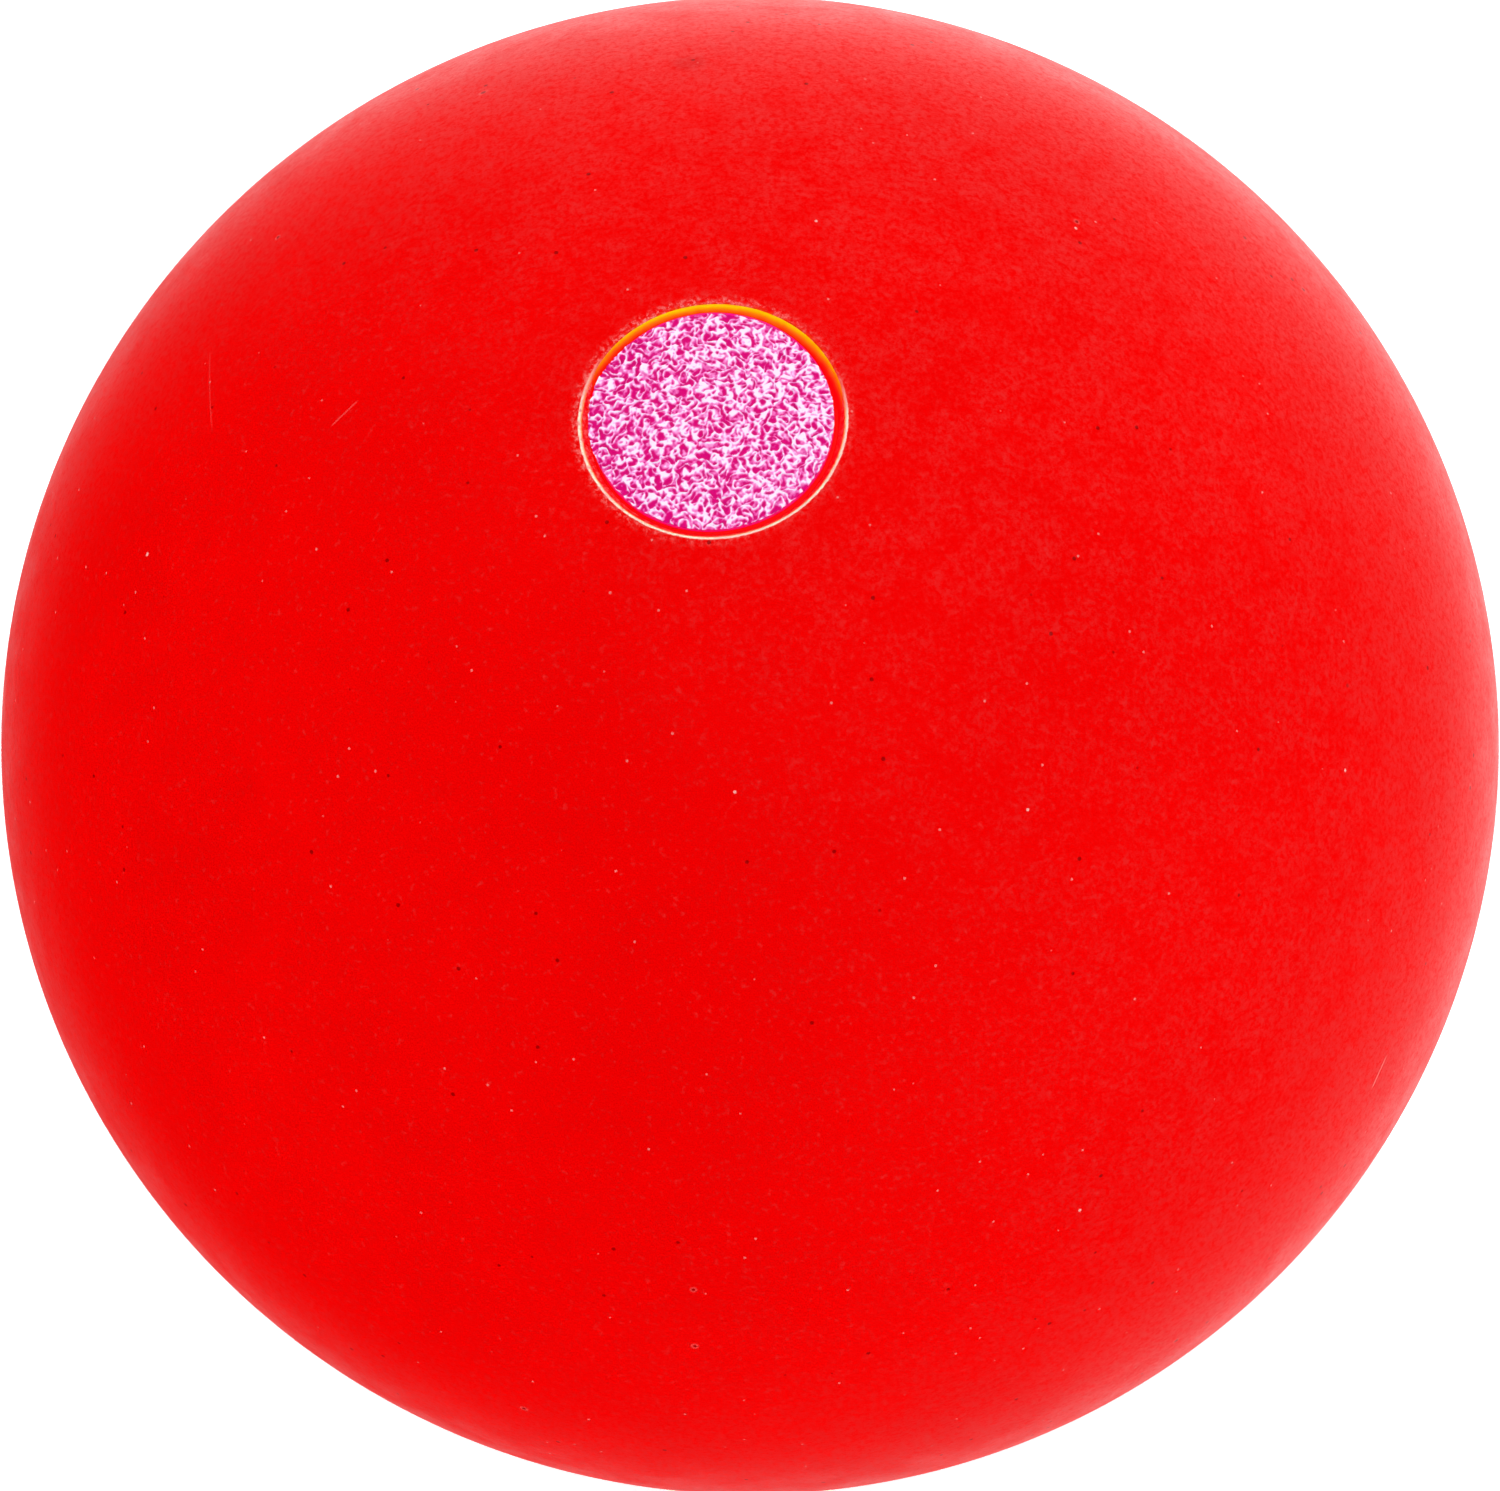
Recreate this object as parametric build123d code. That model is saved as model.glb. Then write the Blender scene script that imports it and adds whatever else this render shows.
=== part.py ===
from build123d import *
import math
import os

# Croquet ball, composite construction, full size. Millimetres.
#
# A tough plastic casing is moulded in one piece round a cork and rubber core.
# A stem holds the core in the middle of the mould while the casing sets, so
# each ball leaves the mould with one stepped hole: a wide bore through the
# casing and a narrow socket in the core. A stepped plug closes that hole. It is
# bonded in with resin, and a bead of the same resin seals the chamfered mouth.
#
# The origin is the centre of the ball. +Z runs along the plug's axis and out
# of the mouth.

# ---- driving dimensions ----

ball_diameter = 92.1
casing_wall = 10.0

# The hole that the mould's stem leaves.
bore_diameter = 14.3
mouth_chamfer = 0.5
socket_diameter = 8.0
socket_depth = 9.0

# The resin round the plug: an even film, and how far the bead in the mouth
# stops below the rim.
bond_thickness = 0.15
bead_recess = 0.4

# Lead-in bevel on the end of the plug's spigot.
spigot_bevel = 0.6

# ---- sizes that follow ----

ball_radius = ball_diameter / 2
core_radius = ball_radius - casing_wall
bore_radius = bore_diameter / 2
socket_radius = socket_diameter / 2
plug_radius = bore_radius - bond_thickness
spigot_radius = socket_radius - bond_thickness
mouth_radius = bore_radius + mouth_chamfer


def height_on_sphere(sphere_radius, distance_from_axis):
    """Height above the ball's centre of a sphere's surface, off the Z axis."""
    return math.sqrt(sphere_radius ** 2 - distance_from_axis ** 2)


# The mouth's rim lies on the ball, and its chamfer falls inwards at 45 degrees.
rim_height = height_on_sphere(ball_radius, mouth_radius)
chamfer_foot = rim_height - mouth_chamfer
bead_top = rim_height - bead_recess
bead_radius = mouth_radius - bead_recess

# The stem's shoulder seats on a flat spot, where the bore meets the core.
seat_height = height_on_sphere(core_radius, bore_radius)
socket_floor = seat_height - socket_depth


def turned(*outline):
    """Solid of revolution about Z from an outline of (radius, height) points."""
    with BuildPart() as part:
        with BuildSketch(Plane.XZ):
            with BuildLine():
                Polyline(*outline, close=True)
            make_face()
        revolve(axis=Axis.Z)
    return part.part


def stem_hole():
    """The whole hole: socket, bore and flared mouth, carried on past the ball."""
    top = ball_radius + mouth_chamfer
    flare_radius = mouth_radius + (top - rim_height)
    return turned(
        (0, socket_floor),
        (socket_radius, socket_floor),
        (socket_radius, seat_height),
        (bore_radius, seat_height),
        (bore_radius, chamfer_foot),
        (flare_radius, top),
        (0, top),
    )


def casing():
    """One-piece moulded cover with an even wall, pierced only by the bore."""
    return Sphere(ball_radius) - Sphere(core_radius) - stem_hole()


def core():
    """Cork and rubber ball with the stem's flat seat and blind socket."""
    return Sphere(core_radius) - stem_hole()


def plug():
    """Stepped plug whose outer face carries on the curve of the ball."""
    shoulder = seat_height + bond_thickness
    spigot_end = socket_floor + bond_thickness
    blank = turned(
        (0, spigot_end),
        (spigot_radius - spigot_bevel, spigot_end),
        (spigot_radius, spigot_end + spigot_bevel),
        (spigot_radius, shoulder),
        (plug_radius, shoulder),
        (plug_radius, ball_radius),
        (0, ball_radius),
    )
    return blank & Sphere(ball_radius)


def plug_bond():
    """Resin that fills the hole round the plug and ends as the bead in the mouth."""
    up_to_bead_top = turned(
        (0, socket_floor),
        (bead_radius, socket_floor),
        (bead_radius, bead_top),
        (0, bead_top),
    )
    return (stem_hole() & up_to_bead_top) - plug()


os.makedirs("parts", exist_ok=True)
export_step(casing(), "parts/casing.step")
export_step(core(), "parts/core.step")
export_step(plug(), "parts/plug.step")
export_step(plug_bond(), "parts/plug_bond.step")
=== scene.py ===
import math

import bmesh
import bpy
from mathutils import Matrix, Vector, noise


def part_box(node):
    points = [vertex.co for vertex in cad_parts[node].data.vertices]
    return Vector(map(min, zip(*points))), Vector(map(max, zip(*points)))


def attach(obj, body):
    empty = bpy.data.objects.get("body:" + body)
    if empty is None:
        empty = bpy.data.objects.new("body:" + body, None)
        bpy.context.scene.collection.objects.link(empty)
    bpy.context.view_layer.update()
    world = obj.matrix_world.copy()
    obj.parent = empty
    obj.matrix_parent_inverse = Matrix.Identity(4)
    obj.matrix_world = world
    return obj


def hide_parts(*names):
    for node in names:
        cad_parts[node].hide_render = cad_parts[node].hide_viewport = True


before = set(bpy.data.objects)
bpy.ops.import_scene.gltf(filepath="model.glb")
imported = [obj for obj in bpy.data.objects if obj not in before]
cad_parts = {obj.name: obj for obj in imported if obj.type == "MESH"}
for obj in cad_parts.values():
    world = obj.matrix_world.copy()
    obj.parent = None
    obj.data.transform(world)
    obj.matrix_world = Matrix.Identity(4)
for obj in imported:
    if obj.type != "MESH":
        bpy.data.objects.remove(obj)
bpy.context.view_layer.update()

MM = 0.001
RANDOM_SEED = 7
# noise_vector picks its offsets by the clock unless it is seeded.
noise.seed_set(RANDOM_SEED)

# ---- sizes from the frame ----


def reach(corners):
    """Largest distance of a box's faces from the origin's planes."""
    return max(abs(value) for corner in corners for value in corner)


ball_radius = reach(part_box("casing"))
core_radius = reach(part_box("core"))
plug_low, plug_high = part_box("plug")
bond_low, bond_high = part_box("plug_bond")

plug_radius = plug_high.x
spigot_end = plug_low.z
socket_floor = bond_low.z
bond_film = spigot_end - socket_floor
bore_radius = plug_radius + bond_film
# The socket is hidden inside the bond's box, so its size is repeated here.
socket_radius = 4.0 * MM
spigot_radius = socket_radius - bond_film

# The bead's top edge lies on the mouth's 45 degree chamfer, and the chamfer
# meets the ball at the rim.
bead_slope = bond_high.x - bond_high.z
mouth_radius = (bead_slope + math.sqrt(2 * ball_radius ** 2 - bead_slope ** 2)) / 2
rim_height = math.sqrt(ball_radius ** 2 - mouth_radius ** 2)
mouth_chamfer = mouth_radius - bore_radius
chamfer_foot = rim_height - mouth_chamfer
seat_height = math.sqrt(core_radius ** 2 - bore_radius ** 2)
shoulder = seat_height + bond_film

# ---- camera ----

CAMERA_DISTANCE = 0.6
CAMERA_ELEVATION = math.radians(65.6)
CAMERA_ROLL = math.radians(-6.42)
SENSOR_WIDTH = 36.0
BALL_SHARE_OF_FRAME = 0.9985

view_axis = Vector((0, -math.cos(CAMERA_ELEVATION), math.sin(CAMERA_ELEVATION)))
view_right = Vector((1, 0, 0))
view_up = view_axis.cross(view_right)

# ---- small helpers ----


def smoothstep(low, high, value):
    """0 below low, 1 above high, and an even S between them."""
    t = min(max((value - low) / (high - low), 0.0), 1.0)
    return t * t * (3 - 2 * t)


def mix(a, b, share):
    return a + (b - a) * share


def finish_mesh(name, mesh_edit, sharp_degrees=40):
    """Writes the bmesh to a new object with smooth faces and sharp creases."""
    bmesh.ops.recalc_face_normals(mesh_edit, faces=mesh_edit.faces)
    limit = math.radians(sharp_degrees)
    for face in mesh_edit.faces:
        face.smooth = True
    for edge in mesh_edit.edges:
        edge.smooth = edge.calc_face_angle(0.0) < limit
    mesh = bpy.data.meshes.new(name)
    mesh_edit.to_mesh(mesh)
    mesh_edit.free()
    piece = bpy.data.objects.new(name, mesh)
    bpy.context.scene.collection.objects.link(piece)
    return piece


def turned_mesh(name, profile_at, segments):
    """Closed solid of revolution. profile_at(azimuth) gives (radius, height) points from
    axis to axis, as many at every azimuth."""
    edit = bmesh.new()
    first = profile_at(0.0)
    start = edit.verts.new((0, 0, first[0][1]))
    end = edit.verts.new((0, 0, first[-1][1]))
    columns = []
    for segment in range(segments):
        azimuth = 2 * math.pi * segment / segments
        cosine, sine = math.cos(azimuth), math.sin(azimuth)
        inner_points = profile_at(azimuth)[1:-1]
        columns.append([edit.verts.new((r * cosine, r * sine, z)) for r, z in inner_points])
    for segment in range(segments):
        here, there = columns[segment], columns[(segment + 1) % segments]
        edit.faces.new((start, here[0], there[0]))
        for row in range(len(here) - 1):
            edit.faces.new((here[row], here[row + 1], there[row + 1], there[row]))
        edit.faces.new((here[-1], end, there[-1]))
    return finish_mesh(name, edit)


# ---- shader helpers ----


# A Mix node has sockets of one name for each kind of data: these are the colour ones.
MIX_COLOUR_A = 6
MIX_COLOUR_B = 7
MIX_COLOUR_RESULT = 2


class Shader:
    """A material with a Principled shader, and short calls that add nodes to it."""

    def __init__(self, name):
        self.material = bpy.data.materials.new(name)
        self.material.use_nodes = True
        self.tree = self.material.node_tree
        self.principled = self.tree.nodes["Principled BSDF"]
        coordinates = self.tree.nodes.new("ShaderNodeTexCoord")
        self.place = self.vector("SCALE", coordinates.outputs["Object"], scale=1 / MM)

    def connect(self, value, socket):
        if isinstance(value, bpy.types.NodeSocket):
            self.tree.links.new(value, socket)
        else:
            socket.default_value = value

    def vector(self, operation, a, b=None, scale=None):
        """Vector maths. Returns the Value output for lengths and products."""
        node = self.tree.nodes.new("ShaderNodeVectorMath")
        node.operation = operation
        self.connect(a, node.inputs[0])
        if b is not None:
            self.connect(b, node.inputs[1])
        if scale is not None:
            self.connect(scale, node.inputs["Scale"])
        scalar = operation in {"LENGTH", "DOT_PRODUCT", "DISTANCE"}
        return node.outputs["Value" if scalar else "Vector"]

    def maths(self, operation, a, b=0.0):
        node = self.tree.nodes.new("ShaderNodeMath")
        node.operation = operation
        self.connect(a, node.inputs[0])
        self.connect(b, node.inputs[1])
        return node.outputs[0]

    def ease(self, value, low, high, out_low=0.0, out_high=1.0):
        """Smooth step from out_low to out_high while value goes from low to high."""
        node = self.tree.nodes.new("ShaderNodeMapRange")
        node.interpolation_type = "SMOOTHSTEP"
        limits = (value, low, high, out_low, out_high)
        for socket, setting in zip(node.inputs, limits):
            self.connect(setting, socket)
        return node.outputs["Result"]

    def noise(self, scale, detail=2.0, roughness=0.5):
        """Noise round 0.5. The scale is in waves per millimetre."""
        node = self.tree.nodes.new("ShaderNodeTexNoise")
        self.connect(self.place, node.inputs["Vector"])
        node.inputs["Scale"].default_value = scale
        node.inputs["Detail"].default_value = detail
        node.inputs["Roughness"].default_value = roughness
        return node.outputs["Fac"]

    def cells(self, scale):
        """Voronoi cells: distance to the nearest point, and a random grey for each cell."""
        node = self.tree.nodes.new("ShaderNodeTexVoronoi")
        self.connect(self.place, node.inputs["Vector"])
        node.inputs["Scale"].default_value = scale
        return node.outputs["Distance"], node.outputs["Color"]

    def blend(self, share, a, b):
        """Colour a where share is 0, colour b where it is 1."""
        node = self.tree.nodes.new("ShaderNodeMix")
        node.data_type = "RGBA"
        self.connect(share, node.inputs["Factor"])
        self.connect(a, node.inputs[MIX_COLOUR_A])
        self.connect(b, node.inputs[MIX_COLOUR_B])
        return node.outputs[MIX_COLOUR_RESULT]

    def ramp(self, value, stops):
        """Colour ramp from a list of (place, colour)."""
        node = self.tree.nodes.new("ShaderNodeValToRGB")
        self.connect(value, node.inputs["Fac"])
        band = node.color_ramp
        while len(band.elements) < len(stops):
            band.elements.new(0.5)
        for element, (place, colour) in zip(band.elements, stops):
            element.position = place
            element.color = colour
        return node.outputs["Color"]

    def bump(self, height, distance_mm, strength):
        node = self.tree.nodes.new("ShaderNodeBump")
        node.inputs["Distance"].default_value = distance_mm * MM
        node.inputs["Strength"].default_value = strength
        self.connect(height, node.inputs["Height"])
        return node.outputs["Normal"]

    def surface(self, colour, roughness, normal=None, ior=1.46, gloss=None, glow=None):
        """Fills in the Principled shader. gloss is its specular level, and glow is how
        strongly the colour shines by itself."""
        self.connect(colour, self.principled.inputs["Base Color"])
        if gloss is not None:
            self.connect(gloss, self.principled.inputs["Specular IOR Level"])
        if glow is not None:
            self.connect(colour, self.principled.inputs["Emission Color"])
            self.connect(glow, self.principled.inputs["Emission Strength"])
            self.material.cycles.emission_sampling = "NONE"
        self.connect(roughness, self.principled.inputs["Roughness"])
        self.principled.inputs["IOR"].default_value = ior
        if normal is not None:
            self.connect(normal, self.principled.inputs["Normal"])


def on_ball(azimuth, elevation):
    """Unit vector from the ball's centre to a place given in degrees."""
    azimuth, elevation = math.radians(azimuth), math.radians(elevation)
    level = math.cos(elevation)
    return Vector((level * math.cos(azimuth), level * math.sin(azimuth), math.sin(elevation)))


def rgb(red, green, blue):
    return (red, green, blue, 1.0)


# ---- where the resin came up ----

# The plug was pressed in a little off centre, and the resin that it squeezed out
# climbed the chamfer on one side only.
PLUG_SHIFT = 0.09 * MM
PLUG_SHIFT_AZIMUTH = math.radians(130)
RESIN_AZIMUTH = math.radians(78)

# How far the mouth's rim strays from a circle.
MOUTH_GROWTH = -0.045 * MM
MOUTH_DRIFT = Vector((-0.015, 0.065)) * MM
MOUTH_STRETCH = 0.09 * MM


def mouth_radius_at(azimuth):
    """The mouth was cleaned up by hand: its rim is a little out of round."""
    cosine, sine = math.cos(azimuth), math.sin(azimuth)
    return mouth_radius + (MOUTH_GROWTH + MOUTH_DRIFT.x * cosine + MOUTH_DRIFT.y * sine
                           + MOUTH_STRETCH * (cosine ** 2 - sine ** 2))


def resin_share(azimuth):
    """1 where the resin climbed to the rim, 0 on the far half of the mouth."""
    return max(0.0, math.cos(azimuth - RESIN_AZIMUTH))


# ---- materials ----

RED = rgb(0.87, 0.0004, 0.0005)
DEEP_RED = rgb(0.84, 0.0002, 0.0004)
# CREAM, and PINK_CREAM and AMBER_CREAM below, colour the painted highlight on the mouth's rim.
CREAM = rgb(1.0, 0.92, 0.70)
WHITENED = rgb(0.98, 0.26, 0.24)
DUST = rgb(1.0, 0.72, 0.66)
PIT_RED = rgb(0.30, 0.0, 0.0)
SHADE_RED = rgb(0.60, 0.0, 0.0)
# Painted light: a brighter red for the mouth's bevel, to lift the shade in the groove.
BRIGHTENED_BEVEL_RED = rgb(1.0, 0.001, 0.004)
STAINED_RED = rgb(1.0, 0.001, 0.20)
PINK_CREAM = rgb(1.0, 0.70, 0.60)
AMBER_CREAM = rgb(1.0, 0.42, 0.10)

# Marks on the casing: azimuth and elevation in degrees, radius in millimetres.
DUST_SPECKS = [
    (175.6, 42.2, 0.16),
    (-93.1, 62.4, 0.12),
    (-55.9, 53.4, 0.12),
    (-26.6, 33.1, 0.13),
    (-67.9, 21.6, 0.14),
    (61.0, 71.1, 0.12),
    (31.3, 55.3, 0.13),
]
PITS = [
    (111.4, 46.9, 0.20),
    (138.3, 44.4, 0.14),
    (115.2, 37.5, 0.16),
    (74.6, 42.6, 0.12),
    (63.5, 40.7, 0.12),
    (32.2, 54.7, 0.13),
    (22.0, 32.4, 0.15),
    (-17.1, 14.0, 0.15),
    (-62.0, -5.1, 0.18),
    (-99.2, 22.2, 0.13),
    (-99.3, 15.8, 0.14),
    (-112.8, 2.4, 0.16),
]
SMUDGES = [(88.1, 52.1, 1.5)]
# Scratches: both ends, azimuth and elevation in degrees, and how pale they are.
SCRATCHES = [
    ((167.2, 60.4), (163.1, 62.5), 0.08),
    ((-40.7, 7.4), (-38.1, 8.9), 0.35),
    ((152.8, 44.6), (164.2, 48.5), 0.03),
]


def distance_from_axis(shader):
    """Distance of a point from the plug's axis, in millimetres."""
    flat = shader.vector("MULTIPLY", shader.place, (1, 1, 0))
    return shader.vector("LENGTH", flat)


def towards_resin(shader):
    """The shader's own resin_share: 1 on the side where the resin climbed."""
    flat = shader.vector("MULTIPLY", shader.place, (1, 1, 0))
    heading = shader.vector("NORMALIZE", flat)
    side = (math.cos(RESIN_AZIMUTH), math.sin(RESIN_AZIMUTH), 0)
    return shader.maths("MAXIMUM", shader.vector("DOT_PRODUCT", heading, side), 0.0)


def spots(shader, marks, inner, outer):
    """1 inside each mark's radius times inner, 0 outside its radius times outer."""
    found = None
    for azimuth, elevation, size in marks:
        centre = on_ball(azimuth, elevation) * (ball_radius / MM)
        gap = shader.vector("DISTANCE", shader.place, centre)
        spot = shader.ease(gap, size * inner, size * outer, 1.0, 0.0)
        found = spot if found is None else shader.maths("MAXIMUM", found, spot)
    return found


def scattered(shader, scale, radius, chosen):
    """Random spots on the surface: radius in millimetres, chosen from 0 to 1."""
    near, tint = shader.cells(scale)
    spot = shader.ease(near, radius * scale * 0.55, radius * scale, 1.0, 0.0)
    return shader.maths("MULTIPLY", spot, shader.ease(tint, 1 - chosen, 1.01 - chosen))


def scratch_lines(shader):
    found = None
    for start, end, strength in SCRATCHES:
        a, b = on_ball(*start), on_ball(*end)
        middle = (a + b).normalized() * (ball_radius / MM)
        half_length = (b - a).length * ball_radius / MM / 2
        across = shader.vector("DOT_PRODUCT", shader.place, a.cross(b).normalized())
        line = shader.ease(shader.maths("ABSOLUTE", across), 0.02, 0.08, strength, 0.0)
        along = shader.vector("DISTANCE", shader.place, middle)
        fade = shader.ease(along, half_length * 0.7, half_length, 1.0, 0.0)
        line = shader.maths("MULTIPLY", line, fade)
        found = line if found is None else shader.maths("MAXIMUM", found, line)
    return found


def centred(shader, value, height):
    """Noise round 0.5, made into noise round 0 of a given height."""
    return shader.maths("MULTIPLY", shader.maths("SUBTRACT", value, 0.5), height)


# The halo of scuffs is strongest to the upper left of the mouth.
MOUTH_WEAR_DIRECTION = (-0.10, 0.08, 0.0)
# Further inside the rim than this, in millimetres, the bevel is painted a brighter red that lifts
# the shade in the groove.
BEVEL_COLOUR_EDGE = -0.06


def mouth_edge_colours(shader, colour):
    """The mouth's edge: a painted highlight along the rim away from the resin, a line of
    painted shade on the rim above the resin, with a scuffed halo outside it and a bevel
    inside it painted brighter red to lift the shade in the groove."""
    radius = distance_from_axis(shader)
    resin = towards_resin(shader)
    height = shader.vector("DOT_PRODUCT", shader.place, (0, 0, 1))
    at_mouth = shader.ease(height, (chamfer_foot - 0.1 * MM) / MM, (chamfer_foot + 0.1 * MM) / MM)
    outside = shader.maths("SUBTRACT", radius, mouth_radius_here(shader))
    stain = shader.ease(outside, -0.52, -0.28, 1.0, 0.0)
    stain = shader.maths("MULTIPLY", stain, shader.ease(resin, -0.35, 0.0, 1.0, 0.0))
    # Painted light: the bevel inside the rim gets a brighter red than the casing.
    lit_bevel = shader.blend(stain, BRIGHTENED_BEVEL_RED, STAINED_RED)
    colour = shader.blend(shader.ease(outside, BEVEL_COLOUR_EDGE, -0.01, 1.0, 0.0), colour, lit_bevel)
    # Painted highlight: a pale cream line along the rim's edge on the side away from the resin.

    ragged = centred(shader, shader.noise(3.4, detail=4.0, roughness=0.7), 0.14)
    offset = shader.maths("SUBTRACT", shader.maths("ADD", outside, 0.02), ragged)
    line = shader.ease(shader.maths("ABSOLUTE", offset), 0.07, 0.14, 1.0, 0.0)
    line = shader.maths("MULTIPLY", line, at_mouth)
    rim_highlight = shader.maths("MULTIPLY", line, shader.ease(resin, -0.02, 0.55, 1.0, 0.0))
    cream = shader.blend(shader.ease(shader.noise(0.9, detail=2.0), 0.4, 0.6), CREAM, PINK_CREAM)
    cream = shader.blend(shader.ease(offset, -0.10, 0.02, 1.0, 0.0), cream, AMBER_CREAM)
    colour = shader.blend(rim_highlight, colour, cream)
    # Painted shade: a dark red line along the rim's edge above the resin.
    rim_shade_line = shader.maths("MULTIPLY", line, shader.ease(resin, 0.3, 0.7))
    colour = shader.blend(rim_shade_line, colour, rgb(0.86, 0.02, 0.002))

    reach_out = shader.ease(outside, 0.02, 0.75, 1.0, 0.0)
    patchy = shader.ease(shader.noise(3.2, detail=6.0, roughness=0.8), 0.49, 0.60)
    halo = shader.maths("MULTIPLY", shader.maths("MULTIPLY", reach_out, patchy), at_mouth)
    worn_side = shader.vector("DOT_PRODUCT", shader.place, MOUTH_WEAR_DIRECTION)
    halo = shader.maths("MULTIPLY", halo, shader.ease(worn_side, -1.0, 1.0, 0.22, 0.90))
    return shader.blend(halo, colour, WHITENED)


def mouth_radius_here(shader):
    """The shader's own mouth_radius_at, in millimetres."""
    heading = shader.vector("NORMALIZE", shader.vector("MULTIPLY", shader.place, (1, 1, 0)))
    drift = shader.vector("DOT_PRODUCT", heading, (MOUTH_DRIFT.x / MM, MOUTH_DRIFT.y / MM, 0))
    squares = shader.vector("MULTIPLY", heading, heading)
    stretch = shader.vector("DOT_PRODUCT", squares, (MOUTH_STRETCH / MM, -MOUTH_STRETCH / MM, 0))
    stray = shader.maths("ADD", drift, stretch)
    return shader.maths("ADD", stray, (mouth_radius + MOUTH_GROWTH) / MM)


# Noise scales of the casing, in waves per millimetre.
GRAIN_SCALE = 3.6
CLOUD_SCALE = 0.07
FLECK_SCALE = 2.6
PATCH_SCALE = 0.35
POWDER_SCALE = 2.6
CASING_BUMP_MM = 0.008


def casing_material():
    shader = Shader("casing_plastic")
    grain = shader.noise(GRAIN_SCALE, detail=3.0, roughness=0.6)
    cloud = shader.noise(CLOUD_SCALE, detail=3.0)
    colour = shader.blend(shader.ease(cloud, 0.35, 0.65), DEEP_RED, RED)
    colour = shader.blend(shader.ease(grain, 0.30, 0.55, 0.05, 0.0), colour, SHADE_RED)
    fleck = shader.noise(FLECK_SCALE, detail=4.0, roughness=0.75)
    fleck = shader.ease(fleck, 0.56, 0.72, 0.0, 0.06)
    colour = shader.blend(fleck, colour, WHITENED)
    colour = mouth_edge_colours(shader, colour)

    smudge = spots(shader, SMUDGES, 0.3, 1.0)
    colour = shader.blend(shader.maths("MULTIPLY", smudge, 0.16), colour, PIT_RED)
    pits = spots(shader, PITS, 0.6, 1.0)
    pits = shader.maths("MAXIMUM", pits, scattered(shader, 0.45, 0.16, 0.60))
    pit_rims = shader.maths("SUBTRACT", spots(shader, PITS, 1.2, 2.1), pits)
    specks = spots(shader, DUST_SPECKS, 0.5, 1.0)
    loose = shader.maths("MULTIPLY", scattered(shader, 0.60, 0.10, 0.70), 0.45)
    specks = shader.maths("MAXIMUM", specks, loose)
    scratches = scratch_lines(shader)
    colour = shader.blend(shader.maths("MULTIPLY", pit_rims, 0.07), colour, DUST)
    colour = shader.blend(shader.maths("MULTIPLY", pits, 0.9), colour, PIT_RED)
    colour = shader.blend(scratches, colour, DUST)
    colour = shader.blend(shader.maths("MULTIPLY", specks, 0.55), colour, DUST)

    height = shader.maths("SUBTRACT", grain, shader.maths("MULTIPLY", pits, 0.6))
    height = shader.maths("SUBTRACT", height, shader.maths("MULTIPLY", scratches, 0.4))
    normal = shader.bump(height, CASING_BUMP_MM, strength=0.9)
    patches = shader.noise(PATCH_SCALE, detail=5.0, roughness=0.65)
    # Fine powdery wear: the gloss breaks up into grains and soft patches.
    powder = shader.noise(POWDER_SCALE, detail=8.0, roughness=0.8)
    powder = shader.ease(powder, 0.40, 0.60, 0.08, 0.94)
    powder = shader.maths("MULTIPLY", powder, shader.ease(patches, 0.38, 0.62, 0.50, 1.54))
    roughness = shader.ease(patches, 0.3, 0.7, 0.31, 0.45)
    shader.surface(colour, roughness, normal, gloss=powder)
    return shader.material


CRUMB_DEPTH = 0.16 * MM
# Colours of the plug from the gaps between the crumbs to their ground tops: pale filler over a
# coloured binder, and painted shade that darkens the gaps.
PLUG_COLOURS = [
    (0.00, rgb(0.72, 0.003, 0.190)),
    (0.05, rgb(0.74, 0.011, 0.245)),
    (0.15, rgb(0.80, 0.058, 0.355)),
    (0.30, rgb(0.88, 0.124, 0.465)),
    (0.50, rgb(0.95, 0.232, 0.600)),
    (0.70, rgb(0.98, 0.365, 0.760)),
    (0.85, rgb(1.00, 0.550, 0.920)),
    (0.95, rgb(1.00, 0.730, 0.990)),
    (1.00, rgb(1.00, 0.840, 1.000)),
]


# Painted light on the plug's side: magenta for red light bounced from the bore, and a faint glow.
PLUG_FOOT_MAGENTA = rgb(1.0, 0.002, 0.10)
PLUG_SIDE_MAGENTA = rgb(1.0, 0.006, 0.28)
PLUG_SIDE_PAINTED_GLOW = 0.18


def plug_material():
    shader = Shader("plug_composition")
    lift = shader.maths("SUBTRACT", shader.vector("LENGTH", shader.place), ball_radius / MM)
    level = shader.maths("DIVIDE", lift, CRUMB_DEPTH / MM)
    level = shader.maths("ADD", shader.maths("MULTIPLY", level, 1.6), 1.30)
    fine = centred(shader, shader.noise(8.0, detail=2.0, roughness=0.6), 0.5)
    level = shader.maths("ADD", level, fine)
    # Darker in the gaps: partly the binder's own colour, partly painted shade.
    colour = shader.ramp(level, PLUG_COLOURS)
    # The plug's side is painted light: magenta for the red light bounced onto it in the shade of
    # the bore, redder towards its foot, and a faint glow of its own.
    deep = shader.ease(lift, -0.22, -0.165, 1.0, 0.0)
    side = shader.blend(shader.ease(lift, -0.50, -0.20), PLUG_FOOT_MAGENTA, PLUG_SIDE_MAGENTA)
    colour = shader.blend(deep, colour, side)
    normal = shader.bump(shader.noise(9.0, detail=2.0), 0.03, strength=0.4)
    glow = shader.maths("MULTIPLY", deep, PLUG_SIDE_PAINTED_GLOW)
    shader.surface(colour, 0.75, normal, ior=1.35, glow=glow)
    return shader.material


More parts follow.
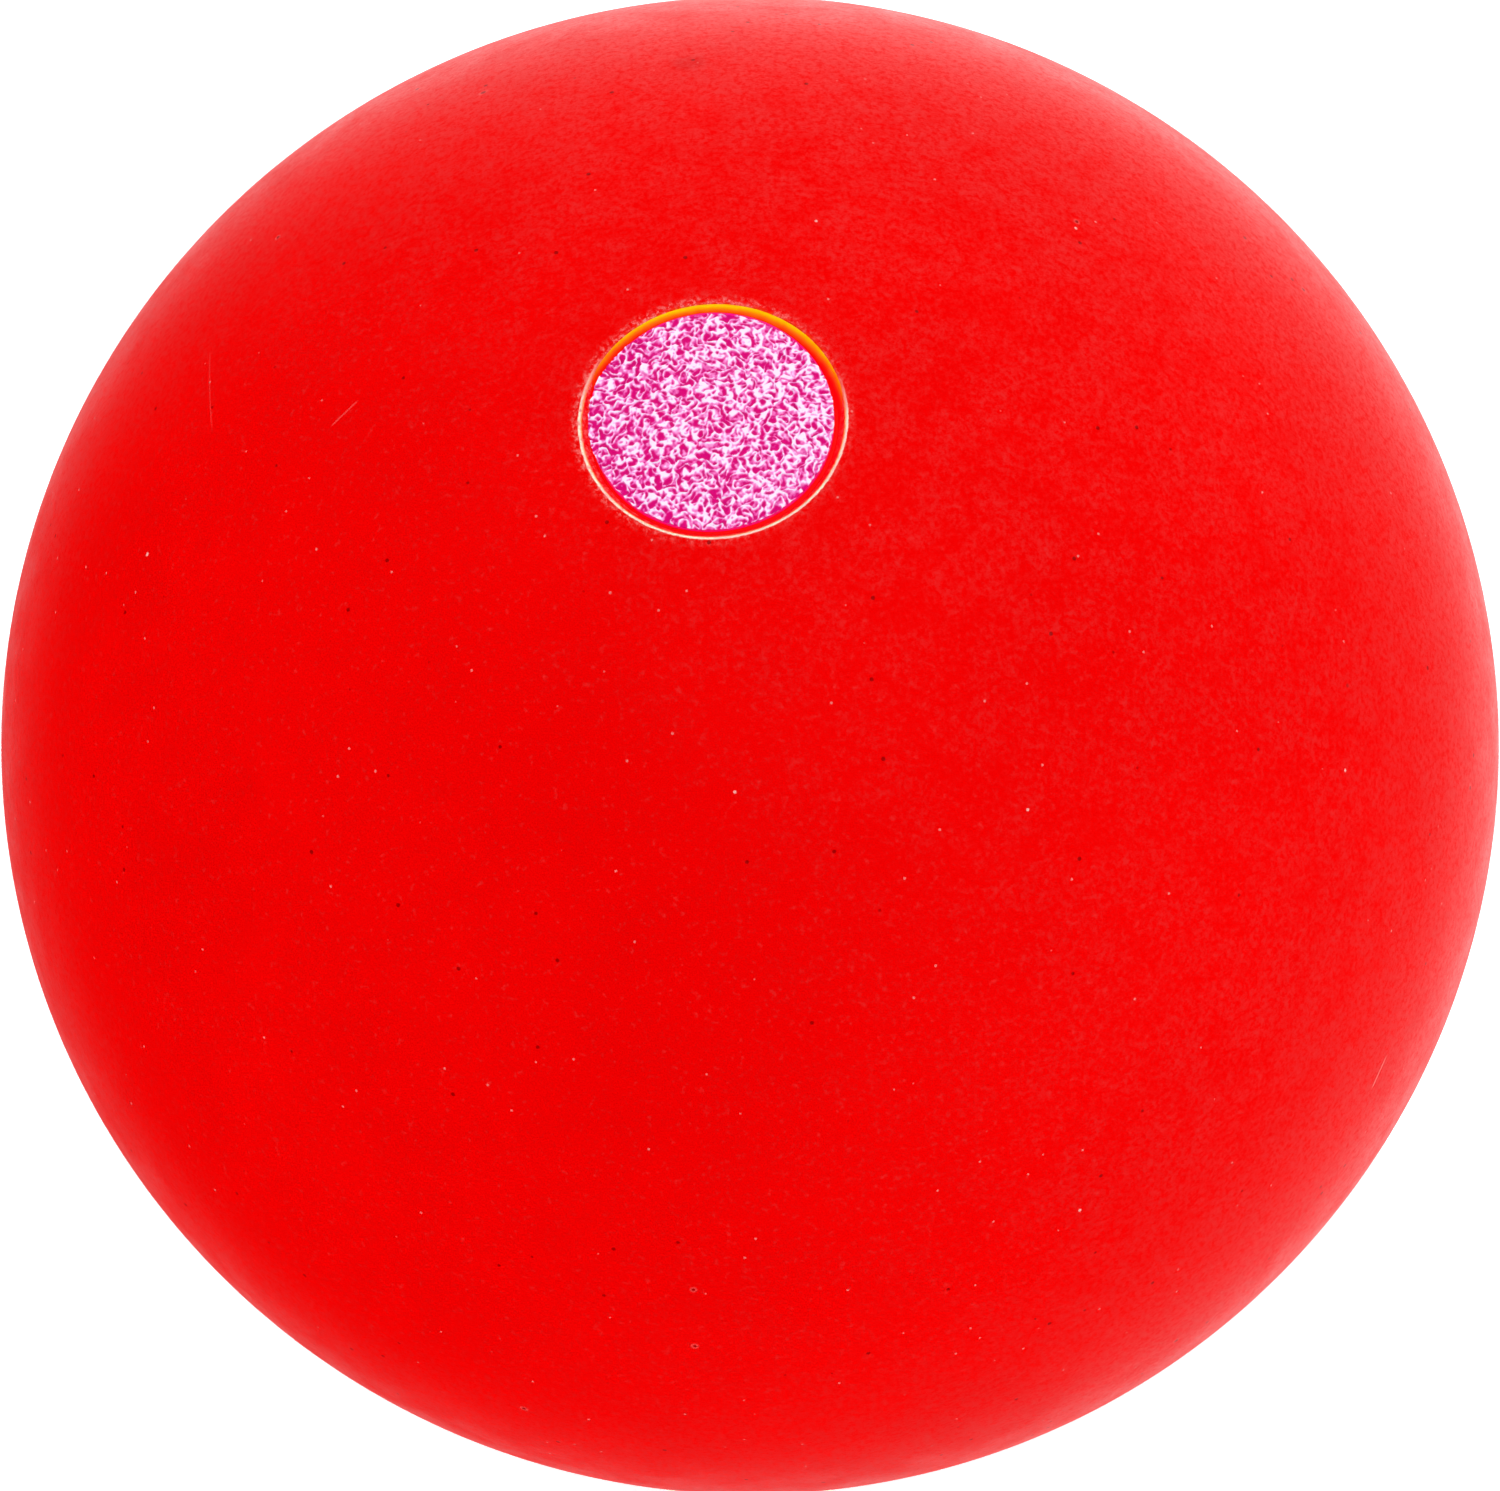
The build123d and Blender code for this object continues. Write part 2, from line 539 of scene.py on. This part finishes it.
def resin_material():
    """Amber resin: a thin red film low on the chamfer, most yellow where it stands thickest near
    its top.
    Its colour is partly painted light as well: the yellow paints the lit side of the groove, and
    the red paints the shade low in the groove and round the far side."""
    shader = Shader("bond_resin")
    climb = shader.maths("SUBTRACT", distance_from_axis(shader), bore_radius / MM)
    chamfer = shader.maths("SUBTRACT", mouth_radius_here(shader), bore_radius / MM)
    climb = shader.maths("DIVIDE", climb, chamfer)
    depth = shader.maths("MULTIPLY", towards_resin(shader), 0.7)
    depth = shader.maths("SUBTRACT", depth, 0.37)
    depth = shader.maths("ADD", depth, shader.maths("MULTIPLY", climb, 0.7))
    streak = centred(shader, shader.noise(1.6, detail=3.0), 0.25)
    depth = shader.maths("ADD", depth, streak)
    # Partly painted light: yellow on the lit side of the groove, red shade low down and round the
    # far side.
    colour = shader.ramp(depth, [
        (0.00, rgb(1.0, 0.002, 0.003)),
        (0.15, rgb(1.0, 0.020, 0.001)),
        (0.33, rgb(1.0, 0.105, 0.001)),
        (0.50, rgb(1.0, 0.260, 0.001)),
        (0.66, rgb(1.0, 0.500, 0.001)),
        (0.80, rgb(1.0, 0.700, 0.002)),
        (0.93, rgb(1.0, 0.520, 0.006)),
        (1.00, rgb(1.0, 0.300, 0.008)),
    ])
    normal = shader.bump(streak, 0.03, strength=0.4)
    shader.surface(colour, 0.25, normal, ior=1.4)
    return shader.material


def core_material():
    shader = Shader("core_composition")
    near, tint = shader.cells(0.55)
    cork = shader.ramp(tint, [
        (0.0, rgb(0.16, 0.08, 0.04)),
        (0.5, rgb(0.34, 0.19, 0.10)),
        (1.0, rgb(0.52, 0.33, 0.19)),
    ])
    matrix = shader.ease(near, 0.5, 0.62)
    colour = shader.blend(matrix, cork, rgb(0.05, 0.035, 0.03))
    normal = shader.bump(shader.noise(2.0, detail=5.0), 0.3, strength=0.6)
    shader.surface(colour, 0.85, normal, ior=1.45)
    return shader.material


# ---- pieces ----

CASING_SEGMENTS = 384
EDGE_ROUND = 0.09 * MM


def rounded_corner(before, corner, after, radius, steps):
    """Arc that rounds a corner of an outline, as (radius, height) points."""
    corner_point = Vector(corner)
    back = (Vector(before) - corner_point).normalized()
    ahead = (Vector(after) - corner_point).normalized()
    half_angle = back.angle(ahead) / 2
    reach_back = radius / math.tan(half_angle)
    centre = corner_point + (back + ahead).normalized() * (radius / math.sin(half_angle))
    first = corner_point + back * reach_back - centre
    last = corner_point + ahead * reach_back - centre
    turn = first.angle_signed(last)
    points = []
    for step in range(steps + 1):
        angle = -turn * step / steps
        cosine, sine = math.cos(angle), math.sin(angle)
        arm = Vector((first.x * cosine - first.y * sine, first.x * sine + first.y * cosine))
        points.append(tuple(centre + arm))
    return points


def casing_outline(azimuth):
    """Outline of the casing from the bottom of the ball to the bottom of its inside."""
    mouth = mouth_radius_at(azimuth)
    rim_angle = math.asin(mouth / ball_radius)
    close_up = math.asin(mouth_radius / ball_radius) + 3.0 * MM / ball_radius
    points = []
    far_steps, near_steps = 130, 26
    for step in range(far_steps):
        angle = mix(math.pi, close_up, step / far_steps)
        points.append((ball_radius * math.sin(angle), ball_radius * math.cos(angle)))
    last_angle = rim_angle + 0.1 * MM / ball_radius
    for step in range(near_steps):
        angle = mix(close_up, last_angle, step / (near_steps - 1))
        points.append((ball_radius * math.sin(angle), ball_radius * math.cos(angle)))
    rim = (mouth, math.sqrt(ball_radius ** 2 - mouth ** 2))
    foot = (bore_radius, rim[1] - (mouth - bore_radius))
    seat = (bore_radius, seat_height)
    points += rounded_corner(points[-1], rim, foot, EDGE_ROUND, 6)
    points += [(mix(rim[0], foot[0], t), mix(rim[1], foot[1], t)) for t in (0.4, 0.5, 0.6)]
    points += rounded_corner(rim, foot, seat, EDGE_ROUND, 3)
    points += [(bore_radius, mix(foot[1], seat_height, t)) for t in (0.1, 0.4, 0.7, 1.0)]
    seat_angle = math.asin(bore_radius / core_radius)
    inner_steps = 24
    for step in range(1, inner_steps + 1):
        angle = mix(seat_angle, math.pi, step / inner_steps)
        points.append((core_radius * math.sin(angle), core_radius * math.cos(angle)))
    points[0] = (0.0, -ball_radius)
    points[-1] = (0.0, -core_radius)
    return points


def make_casing():
    return turned_mesh("casing_skin", casing_outline, CASING_SEGMENTS)


BOND_SEGMENTS = 384
RESIN_THICKNESS = 0.05 * MM


def plug_side(azimuth):
    """Distance from the ball's axis to the plug's side, which is a little off centre."""
    return plug_radius + PLUG_SHIFT * math.cos(azimuth - PLUG_SHIFT_AZIMUTH)


def bond_outline(azimuth):
    """Outline of the resin at one azimuth: the cup round the plug and the climbing bead."""
    share = resin_share(azimuth)
    side = plug_side(azimuth)
    mouth = mouth_radius_at(azimuth)
    chamfer = mouth - bore_radius
    foot = math.sqrt(ball_radius ** 2 - mouth ** 2) - chamfer
    climb = mix(0.10, 0.88, smoothstep(0.02, 0.40, share)) * chamfer
    thickness = RESIN_THICKNESS * smoothstep(0.0, 0.5, share)
    slope = math.sqrt(0.5)
    points = [
        (0.0, socket_floor),
        (socket_radius, socket_floor),
        (socket_radius, seat_height),
        (bore_radius, seat_height),
        (bore_radius, foot),
    ]
    points += [(bore_radius + climb * t, foot + climb * t) for t in (0.5, 1.0)]
    for t in (0.95, 0.85, 0.7, 0.5, 0.3, 0.12):
        skin = thickness * math.sqrt(math.sin(math.pi * min(t + 0.1, 1.0)) + 0.02) + 0.002 * MM
        points.append((bore_radius + climb * t - skin * slope, foot + climb * t + skin * slope))
    points += [
        (side + 0.03 * MM, foot + 0.02 * MM),
        (side, foot + 0.03 * MM),
        (side, mix(foot, shoulder, 0.5)),
        (side, shoulder),
        (spigot_radius, shoulder),
        (spigot_radius, spigot_end),
        (0.0, spigot_end),
    ]
    return points


def make_bond():
    return turned_mesh("plug_bond_resin", bond_outline, BOND_SEGMENTS)


PLUG_GRID = 256
PLUG_EDGE_JAG = 0.09 * MM
PLUG_FACE_SPREAD = -0.01 * MM
PLUG_LIP = 0.16 * MM
PLUG_LIP_AZIMUTH = math.radians(168)
PLUG_FLAT = 0.22 * MM
PLUG_FLAT_AZIMUTH = math.radians(75)
SPIGOT_BEVEL = 0.6 * MM


def crumb_level(x, y):
    """How high the plug's surface stands at a place, in no particular unit: pale worms
    of filler stand proud of the coloured binder. x and y in millimetres."""
    at = Vector((x, y, 0.0))
    warped = at + noise.noise_vector(at * 1.9) * 0.22
    worm = abs(noise.noise(warped * 2.4))
    worm = 1.0 - min(worm / 0.26, 1.0)
    broad = noise.noise(warped * 3.2 + Vector((17.0, 5.0, 3.0)))
    narrow = noise.noise(at * 5.6 + Vector((2.0, 31.0, 9.0)))
    drift = noise.noise(at * 0.35 + Vector((4.0, 4.0, 40.0)))
    return 0.85 * worm + 0.80 * broad + 0.40 * narrow + 0.12 * drift + 0.015 * x


def plug_edge(azimuth):
    """Radius of the plug's ragged edge about its own axis."""
    around = Vector((math.cos(azimuth), math.sin(azimuth), 0.0))
    jag = noise.noise(around * 13.0) * 0.5 + noise.noise(around * 31.0) * 0.7
    lip = smoothstep(0.80, 1.0, math.cos(azimuth - PLUG_LIP_AZIMUTH)) * PLUG_LIP
    flat = smoothstep(0.25, 1.0, math.cos(azimuth - PLUG_FLAT_AZIMUTH)) * PLUG_FLAT
    return plug_radius + PLUG_FACE_SPREAD + PLUG_EDGE_JAG * jag + lip - flat


def make_plug():
    """The plug: a ground face of crumbs, a ragged edge, the shank and the spigot."""
    edit = bmesh.new()
    shift_x = PLUG_SHIFT * math.cos(PLUG_SHIFT_AZIMUTH)
    shift_y = PLUG_SHIFT * math.sin(PLUG_SHIFT_AZIMUTH)
    places = []
    for row in range(PLUG_GRID + 1):
        v = 2 * row / PLUG_GRID - 1
        for column in range(PLUG_GRID + 1):
            u = 2 * column / PLUG_GRID - 1
            disc_x = u * math.sqrt(1 - v * v / 2)
            disc_y = v * math.sqrt(1 - u * u / 2)
            radius = plug_edge(math.atan2(disc_y, disc_x))
            out = math.hypot(disc_x, disc_y)
            places.append((disc_x * radius + shift_x, disc_y * radius + shift_y, out))
    levels = [crumb_level(x / MM, y / MM) for x, y, out in places]
    # Ranking the levels spreads the crumbs evenly between the gaps and the ground tops.
    order = sorted(range(len(levels)), key=levels.__getitem__)
    rank = [0.0] * len(levels)
    for place, index in enumerate(order):
        rank[index] = place / (len(levels) - 1)
    verts = []
    for (x, y, out), share in zip(places, rank):
        sphere = math.sqrt(ball_radius ** 2 - x * x - y * y)
        verts.append(edit.verts.new((x, y, sphere - CRUMB_DEPTH * (1 - share))))
    width = PLUG_GRID + 1
    grid = [verts[row * width:(row + 1) * width] for row in range(width)]
    for row in range(PLUG_GRID):
        for column in range(PLUG_GRID):
            edit.faces.new((
                grid[row][column],
                grid[row][column + 1],
                grid[row + 1][column + 1],
                grid[row + 1][column],
            ))
    border = grid[0][:-1]
    border += [line[-1] for line in grid[:-1]]
    border += grid[-1][:0:-1]
    border += [line[0] for line in grid[:0:-1]]
    rings = [
        (plug_radius, chamfer_foot + 0.28 * MM),
        (plug_radius, chamfer_foot),
        (plug_radius, mix(chamfer_foot, shoulder, 0.5)),
        (plug_radius, shoulder),
        (spigot_radius, shoulder),
        (spigot_radius, spigot_end + SPIGOT_BEVEL),
        (spigot_radius - SPIGOT_BEVEL, spigot_end),
    ]
    above = border
    for radius, height in rings:
        ring = []
        for vert in border:
            heading = Vector((vert.co.x - shift_x, vert.co.y - shift_y)).normalized()
            ring.append(edit.verts.new((
                heading.x * radius + shift_x,
                heading.y * radius + shift_y,
                height,
            )))
        for index in range(len(border)):
            after = (index + 1) % len(border)
            edit.faces.new((above[index], above[after], ring[after], ring[index]))
        above = ring
    end = edit.verts.new((shift_x, shift_y, spigot_end))
    for index in range(len(above)):
        edit.faces.new((above[index], above[(index + 1) % len(above)], end))
    return finish_mesh("plug_crumb", edit)


def give_material(piece, material):
    piece.data.materials.clear()
    piece.data.materials.append(material)


casing = make_casing()
give_material(casing, casing_material())
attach(casing, "root")
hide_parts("casing")

plug = make_plug()
give_material(plug, plug_material())
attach(plug, "root")
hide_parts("plug")

bond = make_bond()
give_material(bond, resin_material())
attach(bond, "root")
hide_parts("plug_bond")

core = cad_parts["core"]
core_look = core_material()
for slot in core.material_slots:
    slot.material = core_look

# ---- floor, light and camera ----

FLOOR_RADIUS = 2.0
FLOOR_GLOW = 0.6
FLOOR_GREY = rgb(0.94, 0.94, 0.94)
FLOOR_WHITE = rgb(0.97, 0.97, 0.97)
TENT_RADIUS = 4.0
GLOSS_RADIUS = 3.5
TENT_STRENGTH = 1.0


def make_floor():
    """A pale disc under the ball. The ball's own gloss comes from the light dome."""
    edit = bmesh.new()
    bmesh.ops.create_circle(edit, cap_ends=True, segments=96, radius=FLOOR_RADIUS)
    floor = finish_mesh("floor", edit)
    floor.location.z = -ball_radius
    shader = Shader("floor_paper")
    tone = shader.blend(shader.noise(0.02), FLOOR_GREY, FLOOR_WHITE)
    shader.surface(tone, 0.9, ior=1.3, glow=FLOOR_GLOW)
    give_material(floor, shader.material)
    floor.visible_diffuse = False
    floor.visible_glossy = False
    floor.visible_shadow = False


def emissive(name, build):
    """Material that only shines. build(shader) returns its strength."""
    shader = Shader(name)
    shader.tree.nodes.remove(shader.principled)
    emission = shader.tree.nodes.new("ShaderNodeEmission")
    shader.connect(build(shader), emission.inputs["Strength"])
    output = shader.tree.nodes["Material Output"]
    shader.connect(emission.outputs[0], output.inputs["Surface"])
    shader.material.cycles.emission_sampling = "NONE"
    return shader.material


def gloss_strength(shader):
    """Brighter behind the ball than in front of it, dark to the left, and brightest
    above and to the right."""
    position = shader.tree.nodes.new("ShaderNodeNewGeometry").outputs["Position"]
    heading = shader.vector("NORMALIZE", position)
    behind = shader.vector("DOT_PRODUCT", heading, -view_axis)
    sideways = shader.vector("DOT_PRODUCT", heading, view_right)
    upward = shader.vector("DOT_PRODUCT", heading, view_up)
    depth = shader.maths("POWER", shader.maths("MAXIMUM", behind, 0.0), 5.0)
    depth = shader.maths("ADD", depth, 0.165)
    across = shader.vector("DOT_PRODUCT", heading, view_right * 0.87 + view_up * 0.49)
    side = shader.ease(across, -0.45, 0.4, 0.01, 1.0)
    low = shader.ease(upward, -0.9, -0.3, 0.18, 0.0)
    low = shader.maths("MULTIPLY", low, shader.ease(sideways, -0.5, -0.1))
    top = shader.ease(upward, 0.0, 0.6)
    top = shader.maths("MULTIPLY", top, shader.ease(sideways, -0.5, 0.0))
    top = shader.maths("ADD", shader.maths("MULTIPLY", top, 0.6), 1.0)
    side = shader.maths("MULTIPLY", side, top)
    glow = shader.maths("MULTIPLY", depth, shader.maths("ADD", side, low))
    return shader.maths("ADD", glow, shader.ease(behind, 0.75, 1.0, 0.0, 0.3))


def make_dome(name, radius, material, seen_by_gloss):
    """A glowing sphere round the scene that casts no shadow."""
    edit = bmesh.new()
    bmesh.ops.create_icosphere(edit, subdivisions=4, radius=radius)
    dome = finish_mesh(name, edit)
    give_material(dome, material)
    dome.visible_camera = not seen_by_gloss
    dome.visible_diffuse = False
    dome.visible_glossy = seen_by_gloss
    dome.visible_transmission = not seen_by_gloss
    dome.visible_shadow = False


def make_domes():
    """A white light tent, and a second dome that gives the gloss its soft gradient."""
    tent = emissive("tent", lambda shader: TENT_STRENGTH)
    make_dome("tent", TENT_RADIUS, tent, seen_by_gloss=False)
    gradient = emissive("gloss_dome", gloss_strength)
    make_dome("gloss_dome", GLOSS_RADIUS, gradient, seen_by_gloss=True)


def make_world():
    """No light from beyond the tent."""
    world = bpy.data.worlds.new("dark")
    world.use_nodes = True
    background = world.node_tree.nodes["Background"]
    background.inputs["Color"].default_value = rgb(0.0, 0.0, 0.0)
    bpy.context.scene.world = world


def make_sun(name, direction, strength, spread):
    """A very wide soft sun that lights the matt colour and leaves the gloss alone."""
    light = bpy.data.lights.new(name, "SUN")
    light.energy = strength * math.pi
    light.angle = math.radians(spread)
    light.cycles.use_multiple_importance_sampling = False
    sun = bpy.data.objects.new(name, light)
    sun.rotation_euler = direction.normalized().to_track_quat("Z", "Y").to_euler()
    sun.visible_glossy = False
    bpy.context.scene.collection.objects.link(sun)


def make_suns():
    """Even light from above, the glow of the lit table from below, and a little more
    from the upper right and from behind at the lower left."""
    bright_side = (view_right + view_up).normalized()
    make_sun("sky", view_axis + view_right * 0.08 - view_up * 0.01, 0.972, 180)
    make_sun("key", view_axis + bright_side * 0.5, 0.065, 60)
    make_sun("table_glow", -view_axis, 1.4, 180)
    make_sun("edge_glow", -view_axis + view_right * 0.1, 0.21, 150)
    make_sun("rim", -view_axis * 0.8 - bright_side * 0.6, 0.18, 40)


def make_camera():
    data = bpy.data.cameras.new("camera")
    data.sensor_width = SENSOR_WIDTH
    half_width_slope = ball_radius / math.sqrt(CAMERA_DISTANCE ** 2 - ball_radius ** 2)
    data.lens = SENSOR_WIDTH / 2 * BALL_SHARE_OF_FRAME / half_width_slope
    data.clip_start = 0.01
    data.clip_end = 50.0
    camera = bpy.data.objects.new("camera", data)
    turn = Matrix((view_right, view_up, view_axis)).transposed().to_4x4()
    roll = Matrix.Rotation(CAMERA_ROLL, 4, "Z")
    camera.matrix_world = Matrix.Translation(view_axis * CAMERA_DISTANCE) @ turn @ roll
    bpy.context.scene.collection.objects.link(camera)
    bpy.context.scene.camera = camera


make_floor()
make_domes()
make_world()
make_suns()
make_camera()
bpy.context.scene.view_settings.view_transform = "Standard"
